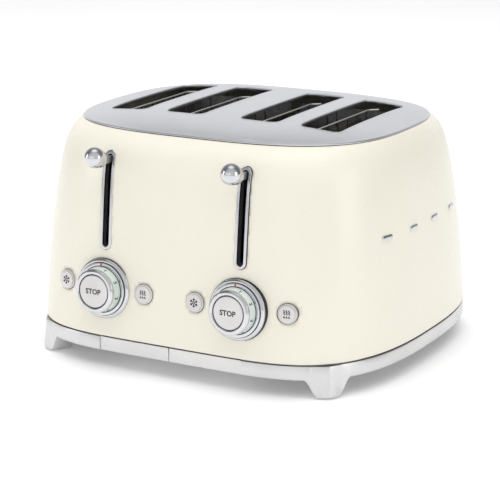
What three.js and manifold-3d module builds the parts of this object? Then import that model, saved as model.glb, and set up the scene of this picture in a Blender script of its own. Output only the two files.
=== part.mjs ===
// Four-slot pop-up toaster. Millimetres, +Z up, front towards -Y, feet standing on Z = 0.
// The origin is on the ground, under the middle of the whole object's box.
// Inside the assembly group, X = 0 and Y = 0 are the middle of the oval casing.
import * as THREE from "three";
import { mergeVertices } from "three/addons/utils/BufferGeometryUtils.js";
import Module from "manifold-3d";

const wasm = await Module();
wasm.setup();

// ---------- Driving dimensions ----------
const GAP = 0.3; // clearance kept between pieces that touch
const FAR = 300; // longer than any piece that a cutter has to pass

// Casing: an oval outline |x/a|^n + |y/b|^m = 1 whose sizes and exponents change with height.
const CASING = { bottom: 28.6, top: 195.3, halfWidth: 167, halfDepth: 148.56, wall: 1.6 };
const WIDTH_TAPER = { lean: 17.05, shoulder: 6.71, sharpness: 16 };
const DEPTH_TAPER = { lean: 15.37, shoulder: 20.05, sharpness: 17.7 };
const WIDTH_EXPONENT = { bottom: 4.72, top: 3.09 };
const DEPTH_EXPONENT = { bottom: 2.64, top: 2.91 };
const CORNER_ANGLE = THREE.MathUtils.degToRad(53.1); // outline parameter of the foot's crease
const STEPS_PER_OCTANT = 7; // outline steps between a side's middle and the nearest corner

// Top plate: crowned sheet that closes the casing, with the bread slots.
const PLATE = { edgeGap: 0.3, edgeHeight: 1, crown: 8.5, thickness: 1 };
const SLOT = { width: 36, length: 127, radius: 7, centreY: 1.8 };

// Lift modules: one behind each lever, each serving two slots.
const MODULE_X = 63.6;
const SLOT_OFFSET = 28.05; // slot centre from the module's middle
const FRAME = { halfWidth: 58.5, inner: 70.4, thickness: 1.2, bottom: 26.4, top: 192 };
const TRAVEL = 68; // lever stroke, downwards
const ROD = { radius: 3, y: -81.75, top: 190, play: 0.4 }; // the carriage slides on it
const CARRIAGE = { y0: -75.6, y1: -74.3, low: 113, high: 127, halfWidth: 31, halfUpright: 9 };
const BLOCK = { half: 8, front: -88, low: 148 }; // the carriage's bush on the rod
const SPRING = { x: 14, radius: 3, low: 114.8, high: 186.7, tab: 6 };
const LATCH = { x: -14, width: 8, depth: 8 }; // magnet that holds the carriage down
const TAB = { low: 112.5, high: 114.5, front: -85 };
const LUG = { low: 187, high: 189.5, past: 4 }; // holds the tops of the rod and the spring
const REST = { low: 116, high: 124, halfThickness: 1, halfWing: 7, play: 2 };
const WING = { spacing: 44, halfWidth: 3, thickness: 2 };
const GUIDE = { near: 13, thickness: 1.6, halfLength: 63, low: 50, high: 196, rail: 1.8, wires: 7 };
const HEATER = { low: 47, high: 184, halfThickness: 0.6 };

// Base: band, feet, floor and crumb trays.
const BAND = { bottom: 15.4, top: 27.4, wall: 4.8, lipInset: 2.6, lipTop: 33 };
const FOOT = { flat: 8.7, spread: 19.6, depth: 14, lean: 1.8, bottom: 1.2, root: 17.4, step: 0.03 };
const PAD = { radius: 5, inset: 7.2 };
const FLOOR = { bottom: 24.6, top: 26.1 };
const TRAY = { halfOpening: 67.6, recess: 1, front: 1.2, bottom: 16.5, sheet: 1.2, rear: 95 };
const PAN = { near: 1.3, far: 66.4, top: 23.8 };
const RAIL = { low: 15, front: -135, rear: 100, sideWeb: 66.9, side: 68.1, sideLip: 64.4 };
const MIDDLE_RAIL = { halfWeb: 0.5, halfLip: 3.5 };

// Front controls.
const LEVER_SLOT = { low: 100.9, high: 181.5, outer: 11, liner: 8.4, inner: 5.6, hole: 9.2 };
const BALL = { radius: 8.75, y: -152.8, z: 180.4 };
const ARM = { low: 172.5, high: 178, thickness: 3 };
const DIAL = { z: 68.6, tilt: THREE.MathUtils.degToRad(4), radius: 25.2, bore: 19.5 };
const BUTTON = { z: 69, radius: 8.2, hole: 8.6, innerX: 24.3, outerX: 104.5, outerTurn: 9 };
const STEM = { radius: 3.5, clearance: 3.4 }; // ends short of the board, further than its travel
const BOARD = { y: -110, thickness: 1.6, halfWidth: 118, low: 40, high: 92 };
const ENCODER = { half: 8, depth: 5.2, low: 58, high: 74 };
const GLAND = { z: 46, hole: 7, flange: 9, bore: 3.4 };

// ---------- Materials ----------
function material(color, roughness, metalness) {
  return new THREE.MeshStandardMaterial({ color, roughness, metalness });
}
const creamEnamel = material(0xefe6cf, 0.22, 0);
const brushedSteel = material(0xc9ccd0, 0.34, 1);
const chrome = material(0xdfe1e4, 0.1, 1);
const satinMetal = material(0xcfcfcf, 0.38, 1);
const galvanised = material(0xa9abac, 0.5, 1);
const wireSteel = material(0xb8b6b0, 0.35, 1);
const springSteel = material(0x8f9296, 0.35, 1);
const mica = material(0x8d8170, 0.7, 0);
const circuitGreen = material(0x2d6a45, 0.6, 0);
const blackPlastic = material(0x1b1b1c, 0.5, 0);
const blackRubber = material(0x222222, 0.9, 0);

// ---------- Solids ----------
// A closed geometry as a manifold-3d solid.
function toSolid(geometry) {
  const plain = geometry.clone();
  plain.deleteAttribute("normal");
  plain.deleteAttribute("uv");
  const merged = mergeVertices(plain, 1e-3);
  const corners = merged.index.array;
  const kept = [];
  for (let i = 0; i < corners.length; i += 3) {
    const [a, b, c] = corners.slice(i, i + 3);
    if (a !== b && b !== c && c !== a) kept.push(a, b, c);
  }
  const vertProperties = new Float32Array(merged.attributes.position.array);
  const triVerts = new Uint32Array(kept);
  return new wasm.Manifold(new wasm.Mesh({ numProp: 3, vertProperties, triVerts }));
}

function toGeometry(solid) {
  const mesh = solid.getMesh();
  const geometry = new THREE.BufferGeometry();
  geometry.setAttribute("position", new THREE.BufferAttribute(mesh.vertProperties, 3));
  geometry.setIndex(new THREE.BufferAttribute(mesh.triVerts, 1));
  const flat = geometry.toNonIndexed();
  flat.computeVertexNormals();
  return flat;
}

function join(...geometries) {
  const solids = geometries.map(toSolid);
  return toGeometry(solids.reduce((all, next) => all.add(next)));
}

function cut(geometry, ...cutters) {
  const solids = cutters.map(toSolid);
  return toGeometry(solids.reduce((left, next) => left.subtract(next), toSolid(geometry)));
}

function overlap(first, second) {
  return toGeometry(toSolid(first).intersect(toSolid(second)));
}

// Skin over sections with equal point counts: a closed loop of sections, or capped at both ends.
function loft(sections, loop) {
  const count = sections[0].length;
  const index = [];
  const spans = loop ? sections.length : sections.length - 1;
  for (let s = 0; s < spans; s += 1) {
    const here = s * count;
    const there = ((s + 1) % sections.length) * count;
    for (let p = 0; p < count; p += 1) {
      const q = (p + 1) % count;
      index.push(here + p, here + q, there + q, here + p, there + q, there + p);
    }
  }
  const last = (sections.length - 1) * count;
  for (let p = 1; p < count - 1 && !loop; p += 1) {
    index.push(0, p + 1, p, last, last + p, last + p + 1);
  }
  const geometry = new THREE.BufferGeometry().setFromPoints(sections.flat());
  geometry.setIndex(index);
  return geometry;
}

function box([x0, x1], [y0, y1], [z0, z1]) {
  const geometry = new THREE.BoxGeometry(x1 - x0, y1 - y0, z1 - z0);
  return geometry.translate((x0 + x1) / 2, (y0 + y1) / 2, (z0 + z1) / 2);
}

// Extrusions of a flat shape: its two axes lie along the axes named, the depth along the third.
function extrude(shape, from, to, across, up, along) {
  const options = { depth: to - from, bevelEnabled: false, curveSegments: 4 };
  const geometry = new THREE.ExtrudeGeometry(shape, options);
  geometry.translate(0, 0, from);
  return geometry.applyMatrix4(new THREE.Matrix4().makeBasis(across, up, along));
}
const AXIS_X = new THREE.Vector3(1, 0, 0);
const AXIS_Y = new THREE.Vector3(0, 1, 0);
const AXIS_Z = new THREE.Vector3(0, 0, 1);

function extrudeX(shapeYZ, from, to) {
  return extrude(shapeYZ, from, to, AXIS_Y, AXIS_Z, AXIS_X);
}

function extrudeY(shapeXZ, from, to) {
  return extrude(shapeXZ, -to, -from, AXIS_X, AXIS_Z, AXIS_Y.clone().negate());
}

function extrudeZ(shapeXY, from, to) {
  return extrude(shapeXY, from, to, AXIS_X, AXIS_Y, AXIS_Z);
}

function polygon(points) {
  return new THREE.Shape(points.map(([x, y]) => new THREE.Vector2(x, y)));
}

function roundedRectangle(centreX, centreY, width, height, radius) {
  const shape = new THREE.Shape();
  const x = width / 2 - radius;
  const y = height / 2 - radius;
  const quarter = Math.PI / 2;
  shape.absarc(centreX + x, centreY + y, radius, 0, quarter);
  shape.absarc(centreX - x, centreY + y, radius, quarter, 2 * quarter);
  shape.absarc(centreX - x, centreY - y, radius, 2 * quarter, 3 * quarter);
  shape.absarc(centreX + x, centreY - y, radius, 3 * quarter, 4 * quarter);
  return shape;
}

// Turned piece about the local Y axis; the profile is [radius, distance along the axis] points.
function turned(profile, segments) {
  const points = profile.map(([radius, along]) => new THREE.Vector2(radius, along));
  const onAxis = profile[0][0] === 0;
  if (!onAxis) points.push(points[0].clone());
  return new THREE.LatheGeometry(points, segments);
}

function rod(radius, from, to) {
  return turned([[0, from], [radius, from], [radius, to], [0, to]], 16);
}

function uprightRod(radius, x, y, from, to) {
  return rod(radius, from, to).rotateX(Math.PI / 2).translate(x, y, 0);
}

// ---------- The casing's outline ----------
function heightShare(z) {
  return THREE.MathUtils.clamp((z - CASING.bottom) / (CASING.top - CASING.bottom), 0, 1);
}

function shrink(taper, share) {
  return taper.lean * share ** taper.power + taper.shoulder * share ** taper.sharpness;
}

function outlineAt(z) {
  const share = heightShare(z);
  const { lerp } = THREE.MathUtils;
  return {
    a: CASING.halfWidth - shrink({ ...WIDTH_TAPER, power: 2 }, share),
    b: CASING.halfDepth - shrink({ ...DEPTH_TAPER, power: 1 }, share),
    n: lerp(WIDTH_EXPONENT.bottom, WIDTH_EXPONENT.top, share),
    m: lerp(DEPTH_EXPONENT.bottom, DEPTH_EXPONENT.top, share),
  };
}

function signedPower(value, power) {
  return Math.sign(value) * Math.abs(value) ** power;
}

// Point of the outline at a height, moved inwards by inset.
function outlinePoint(angle, z, inset = 0) {
  const { a, b, n, m } = outlineAt(z);
  const cosine = Math.abs(Math.cos(angle)) < 1e-9 ? 0 : Math.cos(angle);
  const sine = Math.abs(Math.sin(angle)) < 1e-9 ? 0 : Math.sin(angle);
  const x = signedPower(cosine, 2 / n) * (a - inset);
  const y = signedPower(sine, 2 / m) * (b - inset);
  return new THREE.Vector3(x, y, z);
}

function frontSurfaceY(x, z) {
  const { a, b, n, m } = outlineAt(z);
  return -b * (1 - Math.abs(x / a) ** n) ** (1 / m);
}

// Angles that share out an arc evenly by its length plus a share for how much it turns.
function spacedAngles(from, to, steps) {
  const samples = 300;
  const turnWeight = 60;
  const total = [0];
  const angleAt = (i) => from + ((to - from) * i) / samples;
  for (let i = 1; i <= samples; i += 1) {
    const start = outlinePoint(angleAt(i - 1), CASING.bottom);
    const length = outlinePoint(angleAt(i), CASING.bottom).distanceTo(start);
    total.push(total[i - 1] + length + (turnWeight * Math.abs(to - from)) / samples);
  }
  const angles = [];
  for (let step = 0; step < steps; step += 1) {
    const wanted = (total[samples] * step) / steps;
    angles.push(angleAt(total.findIndex((value) => value >= wanted)));
  }
  return angles;
}

function outlineAngles() {
  const quarter = Math.PI / 2;
  const first = [
    ...spacedAngles(0, CORNER_ANGLE, STEPS_PER_OCTANT),
    ...spacedAngles(CORNER_ANGLE, quarter, STEPS_PER_OCTANT),
  ];
  const mirrored = first.map((angle) => 2 * quarter - angle).reverse();
  const half = [...first, quarter, ...mirrored.slice(0, -1)];
  return [...half, ...half.map((angle) => angle + Math.PI)];
}
const ANGLES = outlineAngles();

function ring(z, inset) {
  return ANGLES.map((angle) => outlinePoint(angle, z, inset));
}

// Wall round the outline; its section is a closed list of [inset, z] points, up the outer face.
function wall(section) {
  const inwards = [...section].reverse();
  const around = ANGLES.map((angle) => inwards.map(([inset, z]) => outlinePoint(angle, z, inset)));
  return loft(around, true);
}

// Heights of the casing's rings as shares of its height, closer together at the shoulder.
const LEVELS = [0, 0.3, 0.6, 0.8, 0.9, 0.96, 1];

function casingHeights() {
  return LEVELS.map((share) => CASING.bottom + share * (CASING.top - CASING.bottom));
}

function casingSkin(outerInset, innerInset) {
  const outside = casingHeights().map((z) => [outerInset, z]);
  const inside = casingHeights().map((z) => [innerInset, z]);
  return wall([...outside, ...inside.reverse()]);
}

// Solid filled casing, for cutting the backs of pieces that sit on its surface.
function casingBlock(inset) {
  return loft(casingHeights().map((z) => ring(z, inset)), false);
}

// ---------- Scene graph ----------
const assembly = new THREE.Group();

function add(name, geometry, finish, parent = assembly) {
  const mesh = new THREE.Mesh(geometry, finish);
  mesh.name = name;
  parent.add(mesh);
  return mesh;
}

const SIDES = [["left", -1], ["right", 1]];

// Places a group so that its local +Y axis points out of the casing's front.
function frontGroup(x, z, turn = 0) {
  const group = new THREE.Group();
  const outward = new THREE.Vector3(0, -Math.cos(DIAL.tilt), Math.sin(DIAL.tilt));
  outward.applyAxisAngle(AXIS_Z, turn);
  group.quaternion.setFromUnitVectors(AXIS_Y, outward);
  group.position.set(x, frontSurfaceY(x, z), z);
  group.updateMatrix();
  return group;
}

function buttonPlaces() {
  const turn = THREE.MathUtils.degToRad(BUTTON.outerTurn);
  return [
    { name: "defrost_button_left", x: -BUTTON.outerX, turn: -turn },
    { name: "reheat_button_left", x: -BUTTON.innerX, turn: 0 },
    { name: "defrost_button_right", x: BUTTON.innerX, turn: 0 },
    { name: "reheat_button_right", x: BUTTON.outerX, turn },
  ];
}

// ---------- Casing and top plate ----------
function leverOpening(x, width) {
  const { low, high, outer } = LEVER_SLOT;
  const height = high - low - outer + width;
  const shape = roundedRectangle(x, (low + high) / 2, width, height, width / 2 - 0.01);
  return extrudeY(shape, -FAR, -CASING.halfDepth / 2);
}

function placed(geometry, group) {
  return geometry.clone().applyMatrix4(group.matrix);
}

function addCasing() {
  const openings = [];
  const sleeveHole = 8;
  const cutterDepth = 20;
  for (const [, side] of SIDES) {
    openings.push(leverOpening(side * MODULE_X, LEVER_SLOT.hole));
    const cutter = rod(sleeveHole, -cutterDepth, cutterDepth);
    openings.push(placed(cutter, frontGroup(side * MODULE_X, DIAL.z)));
  }
  for (const { x, turn } of buttonPlaces()) {
    const cutter = rod(BUTTON.hole, -cutterDepth, cutterDepth);
    openings.push(placed(cutter, frontGroup(x, BUTTON.z, turn)));
  }
  openings.push(rod(GLAND.hole, CASING.halfDepth / 2, FAR).translate(0, 0, GLAND.z));
  add("body_shell", cut(casingSkin(0, CASING.wall), ...openings), creamEnamel);
}

// Height of the plate's upper face at a share of the way from its middle to its edge.
function plateRing(share, level) {
  const z = CASING.top + PLATE.edgeGap + level + PLATE.crown * (1 - share ** 4);
  return ANGLES.map((angle) => {
    const edge = outlinePoint(angle, CASING.top);
    return new THREE.Vector3(edge.x * share, edge.y * share, z);
  });
}

function addTopPlate() {
  const shares = [0.35, 0.7, 1];
  const under = shares.map((share) => plateRing(share, PLATE.edgeHeight - PLATE.thickness));
  const over = shares.map((share) => plateRing(share, PLATE.edgeHeight)).reverse();
  const slots = [];
  for (const [, side] of SIDES) {
    for (const offset of [-SLOT_OFFSET, SLOT_OFFSET]) {
      const x = side * MODULE_X + offset;
      const shape = roundedRectangle(x, SLOT.centreY, SLOT.width, SLOT.length, SLOT.radius);
      slots.push(extrudeZ(shape, CASING.bottom, FAR));
    }
  }
  add("top_plate", cut(loft([...under, ...over], false), ...slots), brushedSteel);
}

// Chrome bars on the right-hand side of the casing.
function addTrimBars() {
  const bars = { count: 4, spacing: 39.7, middleY: -6.5, z: 120.5, length: 13, height: 4.6 };
  const proud = 1.1;
  const skin = casingSkin(-GAP - proud, -GAP);
  for (let i = 0; i < bars.count; i += 1) {
    const y = bars.middleY + (i - (bars.count - 1) / 2) * bars.spacing;
    const shape = roundedRectangle(y, bars.z, bars.length, bars.height, bars.height / 2 - 0.01);
    add(`trim_bar_${i + 1}`, overlap(skin, extrudeX(shape, 0, FAR)), chrome);
  }
}

// ---------- Base ----------
// Outline angle at a signed distance along the outline from the corner.
function angleFromCorner(distance) {
  const step = 0.0005;
  let angle = CORNER_ANGLE;
  let walked = 0;
  while (walked < Math.abs(distance)) {
    const next = angle + Math.sign(distance) * step;
    const here = outlinePoint(angle, CASING.bottom);
    walked += outlinePoint(next, CASING.bottom).distanceTo(here);
    angle = next;
  }
  return angle;
}

// Underside of the band at a distance from the corner: flat foot, curved flank, then the band.
function footUnderside(distance) {
  const { smoothstep, lerp } = THREE.MathUtils;
  const rise = smoothstep(Math.abs(distance), FOOT.flat, FOOT.spread);
  return lerp(FOOT.bottom, BAND.bottom - FOOT.step, rise);
}

function cornerFoot(mirrorX, mirrorY) {
  const steps = 12;
  const sections = [];
  for (let i = 0; i <= steps; i += 1) {
    const distance = FOOT.spread * ((2 * i) / steps - 1);
    const angle = angleFromCorner(distance);
    const low = footUnderside(distance);
    const lean = FOOT.lean * (1 - Math.abs(distance) / FOOT.spread);
    const buried = 0.8;
    const section = [
      outlinePoint(angle, FOOT.root, buried),
      outlinePoint(angle, BAND.bottom, 0),
      outlinePoint(angle, low, -lean),
      outlinePoint(angle, low, FOOT.depth),
      outlinePoint(angle, FOOT.root, FOOT.depth),
    ];
    sections.push(section.map(({ x, y, z }) => new THREE.Vector3(x * mirrorX, y * mirrorY, z)));
  }
  const swapped = mirrorX * mirrorY < 0;
  return loft(swapped ? sections.reverse() : sections, false);
}

const CORNERS = [
  { name: "front_left", mirrorX: -1, mirrorY: -1 },
  { name: "front_right", mirrorX: 1, mirrorY: -1 },
  { name: "rear_left", mirrorX: -1, mirrorY: 1 },
  { name: "rear_right", mirrorX: 1, mirrorY: 1 },
];

function addBaseRing() {
  const band = wall([
    [0, BAND.bottom],
    [0, BAND.top],
    [BAND.lipInset, BAND.top],
    [BAND.lipInset, BAND.lipTop],
    [BAND.wall, BAND.lipTop],
    [BAND.wall, BAND.bottom],
  ]);
  const half = TRAY.halfOpening;
  const trayMouth = box([-half, half], [-FAR, 0], [0, FLOOR.bottom - GAP]);
  const past = 5;
  const over = BAND.top + GAP;
  const layer = wall([[-past, 0], [-past, over], [BAND.lipInset, over], [BAND.lipInset, 0]]);
  const skin = overlap(layer, box([-half, half], [-FAR, 0], [0, FAR]));
  const feet = CORNERS.map(({ mirrorX, mirrorY }) => cornerFoot(mirrorX, mirrorY));
  add("base_ring", cut(join(band, ...feet), trayMouth, skin), satinMetal);
}

function addFootPads() {
  for (const { name, mirrorX, mirrorY } of CORNERS) {
    const middle = outlinePoint(CORNER_ANGLE, 0, PAD.inset);
    const pad = uprightRod(PAD.radius, middle.x * mirrorX, middle.y * mirrorY, 0, FOOT.bottom - GAP);
    add(`foot_pad_${name}`, pad, blackRubber);
  }
}

function addBaseFloor() {
  const inset = BAND.wall + GAP;
  const plate = loft([ring(FLOOR.bottom, inset), ring(FLOOR.top, inset)], false);
  const window = { near: 18, far: 65, halfLength: 62 };
  const sheet = 1.2;
  const chute = { foot: 66, peak: 112, top: 44, past: 2 };
  const runner = [RAIL.front, RAIL.rear];
  const webHeights = [RAIL.low, FLOOR.bottom + sheet / 2];
  const lipHeights = [RAIL.low, TRAY.bottom - GAP];
  const cutters = [];
  const pieces = [plate];
  for (const [, side] of SIDES) {
    const across = (near, far) => (side > 0 ? [near, far] : [-far, -near]);
    const along = [SLOT.centreY - window.halfLength, SLOT.centreY + window.halfLength];
    cutters.push(box(across(window.near, window.far), along, [0, FAR]));
    const profile = [
      [chute.foot, FLOOR.bottom + sheet / 2],
      [chute.foot + 2 * sheet, FLOOR.bottom + sheet / 2],
      [chute.peak - sheet, chute.top - sheet],
      [chute.peak - sheet, FLOOR.bottom + sheet / 2],
      [chute.peak, FLOOR.bottom + sheet / 2],
      [chute.peak, chute.top],
    ];
    const mirrored = profile.map(([x, z]) => [side * x, z]);
    const outline = polygon(side > 0 ? mirrored : mirrored.reverse());
    pieces.push(extrudeY(outline, along[0] - chute.past, along[1] + chute.past));
    pieces.push(box(across(RAIL.sideWeb, RAIL.side), runner, webHeights));
    pieces.push(box(across(RAIL.sideLip, RAIL.side), runner, lipHeights));
  }
  const { halfWeb, halfLip } = MIDDLE_RAIL;
  pieces.push(box([-halfWeb, halfWeb], runner, webHeights));
  pieces.push(box([-halfLip, halfLip], runner, lipHeights));
  add("base_floor", cut(join(...pieces), ...cutters), galvanised);
}

// Pull-out crumb tray: a shallow pan behind a curved front that completes the band.
function addCrumbTray(name, side) {
  const across = (near, far) => (side > 0 ? [near, far] : [-far, -near]);
  const { recess, front, sheet, bottom, rear } = TRAY;
  const low = BAND.bottom + 0.1;
  const curve = wall([
    [recess, low],
    [recess, BAND.top],
    [recess + front, BAND.top],
    [recess + front, low],
  ]);
  const face = overlap(curve, box(across(GAP / 2, TRAY.halfOpening - GAP), [-FAR, 0], [0, FAR]));
  const { near, far } = PAN;
  const start = frontSurfaceY(far, CASING.bottom) + recess + front / 2;
  const outer = box(across(near, far), [-CASING.halfDepth, rear], [bottom, PAN.top]);
  const inner = box(
    across(near + sheet, far - sheet),
    [start + 2 * sheet, rear - sheet],
    [bottom + sheet, FAR],
  );
  const inset = recess + front / 2;
  const ahead = wall([[-FAR / 2, 0], [-FAR / 2, BAND.lipTop], [inset, BAND.lipTop], [inset, 0]]);
  add(`crumb_tray_${name}`, join(face, cut(outer, inner, ahead)), satinMetal);
}

// Cord gland in the rear wall, open for the lead.
function addCordGland() {
  const wallY = CASING.halfDepth - shrink({ ...DEPTH_TAPER, power: 1 }, heightShare(GLAND.z));
  const profile = [
    [GLAND.bore, -6],
    [GLAND.hole - GAP, -6],
    [GLAND.hole - GAP, 0.8],
    [GLAND.flange, 0.8],
    [GLAND.flange, 2.2],
    [5.4, 4],
    [GLAND.bore, 4],
  ];
  const gland = add("cord_gland", turned(profile, 16), blackPlastic);
  gland.position.set(0, wallY, GLAND.z);
}

// ---------- Lift modules ----------
// Upright sheet between two Y faces, with a slot for each bread rest to slide in.
function framePanel(y0, y1) {
  const { halfWidth, bottom, top } = FRAME;
  const half = 2.5;
  const heights = [REST.low - TRAVEL - REST.play, REST.high + REST.play];
  const slots = [-SLOT_OFFSET, SLOT_OFFSET].map((x) =>
    box([x - half, x + half], [-FAR, FAR], heights),
  );
  return cut(box([-halfWidth, halfWidth], [y0, y1], [bottom, top]), ...slots);
}

function addFramePanels(name, module) {
  const { inner, thickness } = FRAME;
  const plate = framePanel(-inner - thickness, -inner);
  const lugDepth = [BLOCK.front, -inner - thickness / 2];
  const lug = box([-BLOCK.half, SPRING.x + LUG.past], lugDepth, [LUG.low, LUG.high]);
  const hole = uprightRod(ROD.radius + ROD.play, 0, ROD.y, 0, FAR);
  add(`front_frame_${name}`, cut(join(plate, lug), hole), galvanised, module);
  add(`rear_frame_${name}`, framePanel(inner, inner + thickness), galvanised, module);
}

function addGuideRodAndSpring(name, module) {
  const pin = uprightRod(ROD.radius, 0, ROD.y, FRAME.bottom, ROD.top);
  add(`guide_rod_${name}`, pin, springSteel, module);
  const coil = uprightRod(SPRING.radius, SPRING.x, ROD.y, SPRING.low, SPRING.high);
  add(`lift_spring_${name}`, coil, springSteel, module);
}

// A tab of the carriage, as wide as given, over the spring's foot or the magnet.
function tabSpan(x, width) {
  return [x - width / 2, x + width / 2];
}

function addMagnet(name, module) {
  const top = TAB.low - TRAVEL - GAP;
  const depth = [TAB.front, TAB.front + LATCH.depth];
  const magnet = box(tabSpan(LATCH.x, LATCH.width), depth, [FRAME.bottom, top]);
  add(`latch_magnet_${name}`, magnet, blackPlastic, module);
}

// Sliding carriage: crossbar and upright behind the guide rod's block, lever arm in front.
function addCarriage(name, module) {
  const { y0, y1, low, high, halfWidth, halfUpright } = CARRIAGE;
  const gusset = high + 8;
  const plate = polygon([
    [-halfWidth, low], [halfWidth, low], [halfWidth, high], [halfUpright, gusset],
    [halfUpright, ARM.high], [-halfUpright, ARM.high], [-halfUpright, gusset], [-halfWidth, high],
  ]);
  const tabs = [tabSpan(SPRING.x, SPRING.tab), tabSpan(LATCH.x, LATCH.width)];
  const halfArm = ARM.thickness / 2;
  const tip = BALL.y - SLOT.centreY + BALL.radius / 2;
  const shape = join(
    extrudeY(plate, y0, y1),
    box([-BLOCK.half, BLOCK.half], [BLOCK.front, y1], [BLOCK.low, ARM.high]),
    box([-halfArm, halfArm], [tip, BLOCK.front + 1], [ARM.low, ARM.high]),
    ...tabs.map((span) => box(span, [TAB.front, y1], [TAB.low, TAB.high])),
  );
  const hole = uprightRod(ROD.radius + ROD.play, 0, ROD.y, 0, FAR);
  add(`lift_carriage_${name}`, cut(shape, hole), galvanised, module);
}

function addBall(name, module) {
  const ball = new THREE.SphereGeometry(BALL.radius, 16, 12);
  const half = ARM.thickness / 2 + GAP;
  const tip = BALL.radius / 2 - GAP;
  const socket = box([-half, half], [tip, FAR], [ARM.low - BALL.z - GAP, ARM.high - BALL.z + GAP]);
  const knob = add(`lever_knob_${name}`, cut(ball, socket), chrome, module);
  knob.position.set(0, BALL.y - SLOT.centreY, BALL.z);
}

// Bread rest: a long bar through both frame panels with three cross-wings.
function addBreadRest(name, x, module) {
  const { low, high, halfThickness, halfWing } = REST;
  const start = CARRIAGE.y1 + GAP;
  const end = FRAME.inner + 4;
  const bar = box([-halfThickness, halfThickness], [start, end], [low, high]);
  const wings = [-WING.spacing, 0, WING.spacing].map((y) => {
    const along = [y - WING.halfWidth, y + WING.halfWidth];
    return box([-halfWing, halfWing], along, [high - WING.thickness, high]);
  });
  const rest = add(`bread_rest_${name}`, join(bar, ...wings), galvanised, module);
  rest.position.x = x;
}

// Wire grille beside the bread: rails top and bottom and upright wires, hinged on its bottom rail.
function wireGrille([x0, x1]) {
  const { halfLength, low, high, rail, wires } = GUIDE;
  const pitch = (2 * halfLength - rail) / (wires - 1);
  const windows = [];
  for (let i = 0; i < wires - 1; i += 1) {
    const start = -halfLength + rail + i * pitch;
    windows.push(box([-FAR, FAR], [start, start + pitch - rail], [low + rail, high - rail]));
  }
  return cut(box([x0, x1], [-halfLength, halfLength], [low, high]), ...windows);
}

function addBreadGuides(name, x, module) {
  const sides = [["a", -1], ["b", 1]];
  for (const [letter, side] of sides) {
    const { near, thickness } = GUIDE;
    const span = side > 0 ? [near, near + thickness] : [-near - thickness, -near];
    const guide = add(`bread_guide_${name}_${letter}`, wireGrille(span), wireSteel, module);
    guide.position.x = x;
  }
}

// Three heater cards per module: one each side and one between the slots.
function addHeaterCards(name, module) {
  const { low, high, halfThickness } = HEATER;
  const reach = FRAME.inner - GAP;
  const places = [["inner", -2 * SLOT_OFFSET], ["middle", 0], ["outer", 2 * SLOT_OFFSET]];
  const mirror = name === "left" ? -1 : 1;
  for (const [place, offset] of places) {
    const card = box([-halfThickness, halfThickness], [-reach, reach], [low, high]);
    add(`heater_card_${name}_${place}`, card, mica, module).position.x = offset * mirror;
  }
}

function addModule(name, side) {
  const module = new THREE.Group();
  module.position.set(side * MODULE_X, SLOT.centreY, 0);
  assembly.add(module);
  addFramePanels(name, module);
  addGuideRodAndSpring(name, module);
  addMagnet(name, module);
  addCarriage(name, module);
  addBall(name, module);
  addHeaterCards(name, module);
  for (const [place, offset] of [["inner", -SLOT_OFFSET], ["outer", SLOT_OFFSET]]) {
    const x = offset * side;
    addBreadRest(`${name}_${place}`, x, module);
    addBreadGuides(`${name}_${place}`, x, module);
  }
}

// ---------- Front controls ----------
// Chrome frame of a lever slot: a flange on the casing and a liner through it.
function addLeverBezel(name, side) {
  const proud = 1.1;
  const linerDepth = 3.5;
  const x = side * MODULE_X;
  const flange = overlap(casingSkin(-GAP - proud, -GAP), leverOpening(x, LEVER_SLOT.outer));
  const liner = overlap(casingSkin(-GAP - proud, linerDepth), leverOpening(x, LEVER_SLOT.liner));
  const through = leverOpening(x, LEVER_SLOT.inner);
  add(`lever_bezel_${name}`, cut(join(flange, liner), through), chrome);
}

function addDial(name, side) {
  const group = frontGroup(side * MODULE_X, DIAL.z);
  assembly.add(group);
  const { radius, bore } = DIAL;
  const skirt = [
    [bore, -8], [radius, -8], [radius, 2.4], [24.2, 3.6], [22.4, 3.8], [22, 5.2], [bore, 5.6],
  ];
  const skirtRing = cut(placed(turned(skirt, 32), group), casingBlock(-GAP));
  add(`dial_ring_${name}`, skirtRing, chrome);
  const knob = [
    [4.8, -26], [7, -26], [7, 1.2], [18.9, 1.2], [18.9, 14.6], [17.4, 16.9],
    [14.2, 16.9], [14.2, 4], [4.8, 4],
  ];
  add(`dial_knob_${name}`, turned(knob, 24), chrome, group);
  const button = [[0, -26.5], [4.3, -26.5], [4.3, 6.4], [13.5, 6.4], [13.5, 15.8], [12.8, 16.3], [0, 16.4]];
  add(`stop_button_${name}`, turned(button, 20), satinMetal, group);
}

function addSmallButtons() {
  for (const { name, x, turn } of buttonPlaces()) {
    const group = frontGroup(x, BUTTON.z, turn);
    const stem = group.position.y - BOARD.y + STEM.clearance;
    const cap = [
      [0, stem], [STEM.radius, stem], [STEM.radius, -4], [BUTTON.radius, -4], [BUTTON.radius, 1.5],
      [BUTTON.radius - 0.8, 2.3], [0, 2.3],
    ];
    assembly.add(group);
    add(name, turned(cap, 16), satinMetal, group);
  }
}

function addControlBoard() {
  const { y, thickness, halfWidth, low, high } = BOARD;
  const board = box([-halfWidth, halfWidth], [y, y + thickness], [low, high]);
  const encoders = SIDES.map(([, side]) => {
    const x = side * MODULE_X;
    const span = [x - ENCODER.half, x + ENCODER.half];
    return box(span, [y - ENCODER.depth, y + thickness / 2], [ENCODER.low, ENCODER.high]);
  });
  add("control_board", join(board, ...encoders), circuitGreen);
}

// ---------- Build ----------
addCasing();
addTopPlate();
addTrimBars();
addBaseRing();
addFootPads();
addBaseFloor();
addCordGland();
addControlBoard();
addSmallButtons();
for (const [name, side] of SIDES) {
  addCrumbTray(name, side);
  addLeverBezel(name, side);
  addDial(name, side);
  addModule(name, side);
}

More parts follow.
